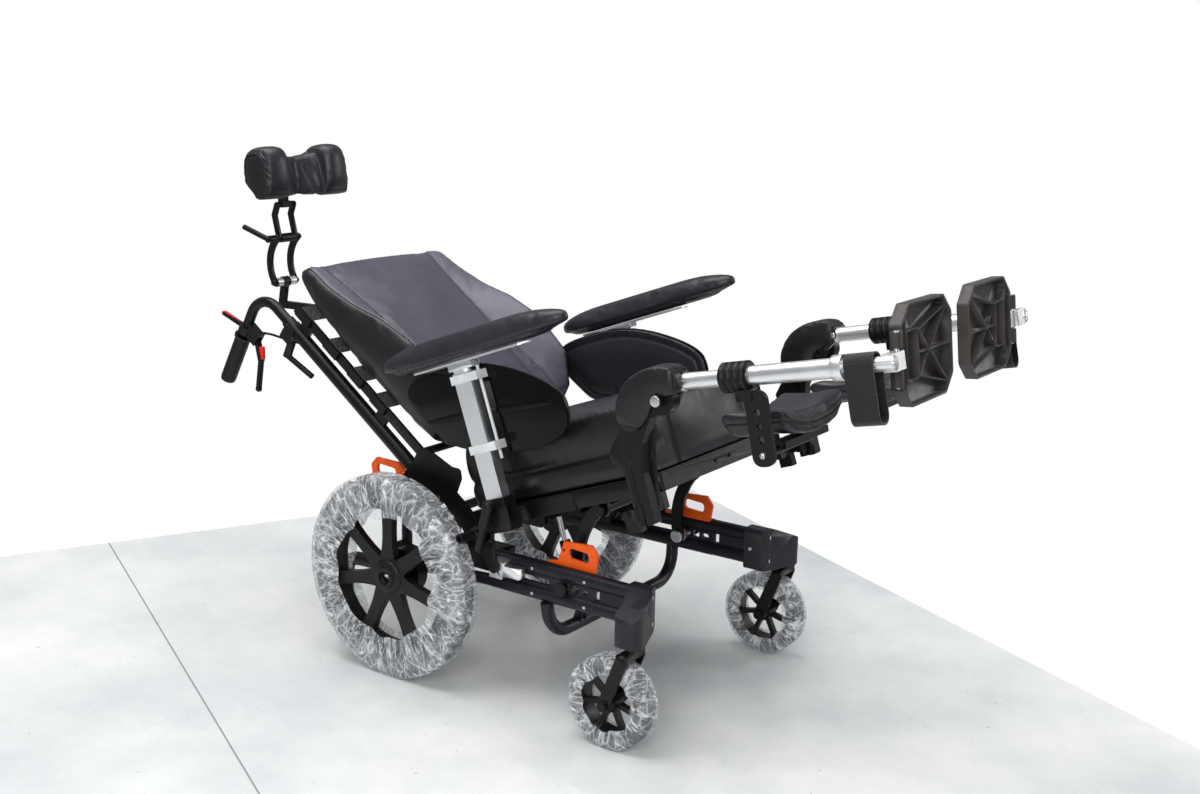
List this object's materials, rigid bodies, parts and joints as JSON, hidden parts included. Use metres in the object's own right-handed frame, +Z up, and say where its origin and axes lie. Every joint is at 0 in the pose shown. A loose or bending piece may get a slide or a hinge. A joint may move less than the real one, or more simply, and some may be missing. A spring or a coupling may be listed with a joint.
{
  "type": "tilt in space wheelchair",
  "caption": "Tilt in space wheelchair with padded seat, contoured back, adjustable headrest, elevating legrests, spoked wheels, casters and lashing loops.",
  "frame": {"origin": "on the floor, under the middle of the whole chair", "axes": "+Z up, +X towards the sitter's left, and the chair faces -Y"},
  "size_m": [0.6442, 1.6717, 1.0022],
  "materials": {
    "frame_paint": "satin powder coat, dark plum grey",
    "black_paint": "satin black powder coat",
    "orange_paint": "satin orange powder coat",
    "dark_plastic": "fine grained dark grey moulding",
    "black_plastic": "moulded black plastic",
    "gloss_black": "glossy black moulding",
    "grey_plastic": "moulded mid grey plastic",
    "white_plastic": "moulded white plastic",
    "steel": "zinc plated",
    "chrome": "polished rod",
    "aluminium": "satin anodised",
    "tyre": "puncture-proof grey-black tread",
    "rubber": "soft black grip",
    "webbing": "woven black webbing",
    "leatherette": "soft dark leatherette"
  },
  "bodies": {
    "chassis": {"side_beams": "frame_paint", "arch_tubes": "frame_paint", "frame_plates": "black_paint", "cross_tube": "frame_paint", "seat_guides": "black_paint", "tie_downs": "orange_paint", "caster_housings": "dark_plastic", "wheel_lock_bases": "aluminium", "axles_and_bearings": "steel", "chassis_bolts": "steel"},
    "front_link": {"front_links": "black_paint"},
    "strut_cylinder": {"strut_cylinder": "black_paint"},
    "strut_rod": {"strut_rod": "chrome"},
    "seat": {"seat_rails": "black_paint", "seat_platform": "black_paint", "seat_cushion": "leatherette", "legrest_receivers": "black_paint", "armrest_sockets": "black_plastic", "armrest_posts": "aluminium", "post_clamps": "white_plastic", "side_guards": "gloss_black"},
    "back": {"back_posts": "black_paint", "back_brackets": "black_paint", "post_clamp_levers": "black_plastic", "back_frame": "black_paint", "back_straps": "webbing", "back_cushion": "leatherette", "brake_cables": "rubber"},
    "headrest_bar": {"headrest_bar": "black_paint"},
    "headrest_middle": {"headrest_middle_bars": "black_paint"},
    "headrest_upper": {"headrest_upper_bars": "black_paint"},
    "headrest_pad": {"headrest_pad": "leatherette"},
    "right_rear_wheel": {"right_rear_wheel": "black_plastic", "right_rear_tyre": "tyre"},
    "right_anti_tipper": {"right_anti_tipper": "black_paint"},
    "right_wheel_lock": {"right_wheel_lock": "black_plastic"},
    "right_caster_fork": {"right_caster_fork": "black_paint"},
    "right_caster_wheel": {"right_caster_wheel": "black_plastic"},
    "right_armrest": {"right_armrest": "leatherette"},
    "right_brake_lever": {"right_brake_lever": "black_plastic"},
    "right_hanger": {"right_hanger": "black_paint"},
    "right_calf_pad": {"right_calf_pad": "leatherette"},
    "right_footplate": {"right_footplate": "grey_plastic"},
    "right_handle": {"right_push_handle": "rubber"},
    "right_leg": {"right_leg_tube": "aluminium"},
    "right_foot": {"right_foot_tube": "aluminium"},
    "left_rear_wheel": {"left_rear_wheel": "black_plastic", "left_rear_tyre": "tyre"},
    "left_anti_tipper": {"left_anti_tipper": "black_paint"},
    "left_wheel_lock": {"left_wheel_lock": "black_plastic"},
    "left_caster_fork": {"left_caster_fork": "black_paint"},
    "left_caster_wheel": {"left_caster_wheel": "black_plastic"},
    "left_armrest": {"left_armrest": "leatherette"},
    "left_brake_lever": {"left_brake_lever": "black_plastic"},
    "left_hanger": {"left_hanger": "black_paint"},
    "left_calf_pad": {"left_calf_pad": "leatherette"},
    "left_footplate": {"left_footplate": "grey_plastic"},
    "left_handle": {"left_push_handle": "rubber"},
    "left_leg": {"left_leg_tube": "aluminium"},
    "left_foot": {"left_foot_tube": "aluminium"}
  },
  "joints": [
    {"name": "tilt", "type": "hinge", "parent": "chassis", "child": "front_link", "pos_m": [0, -0.1891, 0.244], "axis": [1, 0, 0], "range_deg": [-47.3, 0]},
    {"name": "seat_pivot", "type": "hinge", "parent": "front_link", "child": "seat", "pos_m": [0, -0.2251, 0.388], "axis": [1, 0, 0], "range_deg": [0, 67.4]},
    {"name": "strut_swing", "type": "hinge", "parent": "chassis", "child": "strut_cylinder", "pos_m": [0, -0.1581, 0.161], "axis": [1, 0, 0], "range_deg": [-22.93, 0]},
    {"name": "strut_stroke", "type": "slide", "parent": "strut_cylinder", "child": "strut_rod", "axis": [0, 0.314, 0.9494], "range_m": [0, 0.08715]},
    {"name": "recline", "type": "hinge", "parent": "seat", "child": "back", "pos_m": [0, 0.0229, 0.31], "axis": [1, 0, 0], "range_deg": [0, 34]},
    {"name": "headrest_height", "type": "slide", "parent": "back", "child": "headrest_bar", "axis": [0, 0.9998, -0.0216], "range_m": [0, 0.06]},
    {"name": "headrest_lower_joint", "type": "hinge", "parent": "headrest_bar", "child": "headrest_middle", "pos_m": [0, 0.77256, 0.69026], "axis": [1, 0, 0], "range_deg": [-30, 30]},
    {"name": "headrest_upper_joint", "type": "hinge", "parent": "headrest_middle", "child": "headrest_upper", "pos_m": [0, 0.76129, 0.79085], "axis": [1, 0, 0], "range_deg": [-30, 30]},
    {"name": "headrest_pad_tilt", "type": "hinge", "parent": "headrest_upper", "child": "headrest_pad", "pos_m": [0, 0.765, 0.864], "axis": [1, 0, 0], "range_deg": [-25, 25]},
    {"name": "right_wheel_spin", "type": "hinge", "parent": "chassis", "child": "right_rear_wheel", "pos_m": [-0.2846, 0.1829, 0.2025], "axis": [1, 0, 0], "continuous": true},
    {"name": "right_caster_swivel", "type": "hinge", "parent": "chassis", "child": "right_caster_fork", "pos_m": [-0.277, -0.3801, 0.187], "axis": [0, 0, 1], "continuous": true},
    {"name": "right_caster_spin", "type": "hinge", "parent": "right_caster_fork", "child": "right_caster_wheel", "pos_m": [-0.277, -0.3411, 0.085], "axis": [1, 0, 0], "continuous": true},
    {"name": "right_wheel_lock_lever", "type": "hinge", "parent": "chassis", "child": "right_wheel_lock", "pos_m": [-0.24, -0.0491, 0.262], "axis": [1, 0, 0], "range_deg": [0, 25]},
    {"name": "right_anti_tipper_turn", "type": "hinge", "parent": "chassis", "child": "right_anti_tipper", "pos_m": [-0.172, 0.3329, 0.165], "axis": [0, 0.9989, -0.0465], "range_deg": [-180, 0]},
    {"name": "right_armrest_height", "type": "slide", "parent": "seat", "child": "right_armrest", "axis": [0, 0.342, 0.9397], "range_m": [0, 0.09]},
    {"name": "right_handle_height", "type": "slide", "parent": "back", "child": "right_handle", "axis": [0, 0.809, 0.5878], "range_m": [0, 0.1]},
    {"name": "right_brake_squeeze", "type": "hinge", "parent": "right_handle", "child": "right_brake_lever", "pos_m": [-0.2, 0.64297, 0.59982], "axis": [1, 0, 0], "range_deg": [0, 20], "stiffness_Nm_per_rad": 1.2, "springref_deg": -11.46},
    {"name": "right_legrest_swing", "type": "hinge", "parent": "seat", "child": "right_hanger", "pos_m": [-0.29, -0.38158, 0.49979], "axis": [0, 0.342, 0.9397], "range_deg": [-90, 0]},
    {"name": "right_leg_elevation", "type": "hinge", "parent": "right_hanger", "child": "right_leg", "pos_m": [-0.277, -0.43758, 0.65], "axis": [1, 0, 0], "range_deg": [-8, 60]},
    {"name": "right_leg_length", "type": "slide", "parent": "right_leg", "child": "right_foot", "axis": [0, -0.9767, 0.2147], "range_m": [0, 0.08]},
    {"name": "right_calf_pad_rock", "type": "hinge", "parent": "right_leg", "child": "right_calf_pad", "pos_m": [-0.277, -0.62769, 0.58634], "axis": [1, 0, 0], "range_deg": [-12, 12]},
    {"name": "right_footplate_flip", "type": "hinge", "parent": "right_foot", "child": "right_footplate", "pos_m": [-0.241, -0.81919, 0.75847], "axis": [0, 0.1115, 0.9938], "range_deg": [0, 48]},
    {"name": "left_wheel_spin", "type": "hinge", "parent": "chassis", "child": "left_rear_wheel", "pos_m": [0.2846, 0.1829, 0.2025], "axis": [1, 0, 0], "continuous": true},
    {"name": "left_caster_swivel", "type": "hinge", "parent": "chassis", "child": "left_caster_fork", "pos_m": [0.277, -0.3801, 0.187], "axis": [0, 0, 1], "continuous": true},
    {"name": "left_caster_spin", "type": "hinge", "parent": "left_caster_fork", "child": "left_caster_wheel", "pos_m": [0.277, -0.3411, 0.085], "axis": [1, 0, 0], "continuous": true},
    {"name": "left_wheel_lock_lever", "type": "hinge", "parent": "chassis", "child": "left_wheel_lock", "pos_m": [0.24, -0.0491, 0.262], "axis": [1, 0, 0], "range_deg": [0, 25]},
    {"name": "left_anti_tipper_turn", "type": "hinge", "parent": "chassis", "child": "left_anti_tipper", "pos_m": [0.172, 0.3329, 0.165], "axis": [0, 0.9989, -0.0465], "range_deg": [0, 180]},
    {"name": "left_armrest_height", "type": "slide", "parent": "seat", "child": "left_armrest", "axis": [0, 0.342, 0.9397], "range_m": [0, 0.09]},
    {"name": "left_handle_height", "type": "slide", "parent": "back", "child": "left_handle", "axis": [0, 0.809, 0.5878], "range_m": [0, 0.1]},
    {"name": "left_brake_squeeze", "type": "hinge", "parent": "left_handle", "child": "left_brake_lever", "pos_m": [0.2, 0.64297, 0.59982], "axis": [1, 0, 0], "range_deg": [0, 20], "stiffness_Nm_per_rad": 1.2, "springref_deg": -11.46},
    {"name": "left_legrest_swing", "type": "hinge", "parent": "seat", "child": "left_hanger", "pos_m": [0.29, -0.38158, 0.49979], "axis": [0, 0.342, 0.9397], "range_deg": [0, 90]},
    {"name": "left_leg_elevation", "type": "hinge", "parent": "left_hanger", "child": "left_leg", "pos_m": [0.277, -0.43758, 0.65], "axis": [1, 0, 0], "range_deg": [-8, 60]},
    {"name": "left_leg_length", "type": "slide", "parent": "left_leg", "child": "left_foot", "axis": [0, -0.9767, 0.2147], "range_m": [0, 0.08]},
    {"name": "left_calf_pad_rock", "type": "hinge", "parent": "left_leg", "child": "left_calf_pad", "pos_m": [0.277, -0.62769, 0.58634], "axis": [1, 0, 0], "range_deg": [-12, 12]},
    {"name": "left_footplate_flip", "type": "hinge", "parent": "left_foot", "child": "left_footplate", "pos_m": [0.241, -0.81919, 0.75847], "axis": [0, 0.1115, 0.9938], "range_deg": [-48, 0]}
  ],
  "couplings": [
    {"joint": "seat_pivot", "follows": "tilt", "ratio": -1.4228},
    {"joint": "strut_swing", "follows": "tilt", "ratio": 0.47527},
    {"joint": "strut_stroke", "follows": "tilt", "m_per_rad": -0.1035}
  ]
}
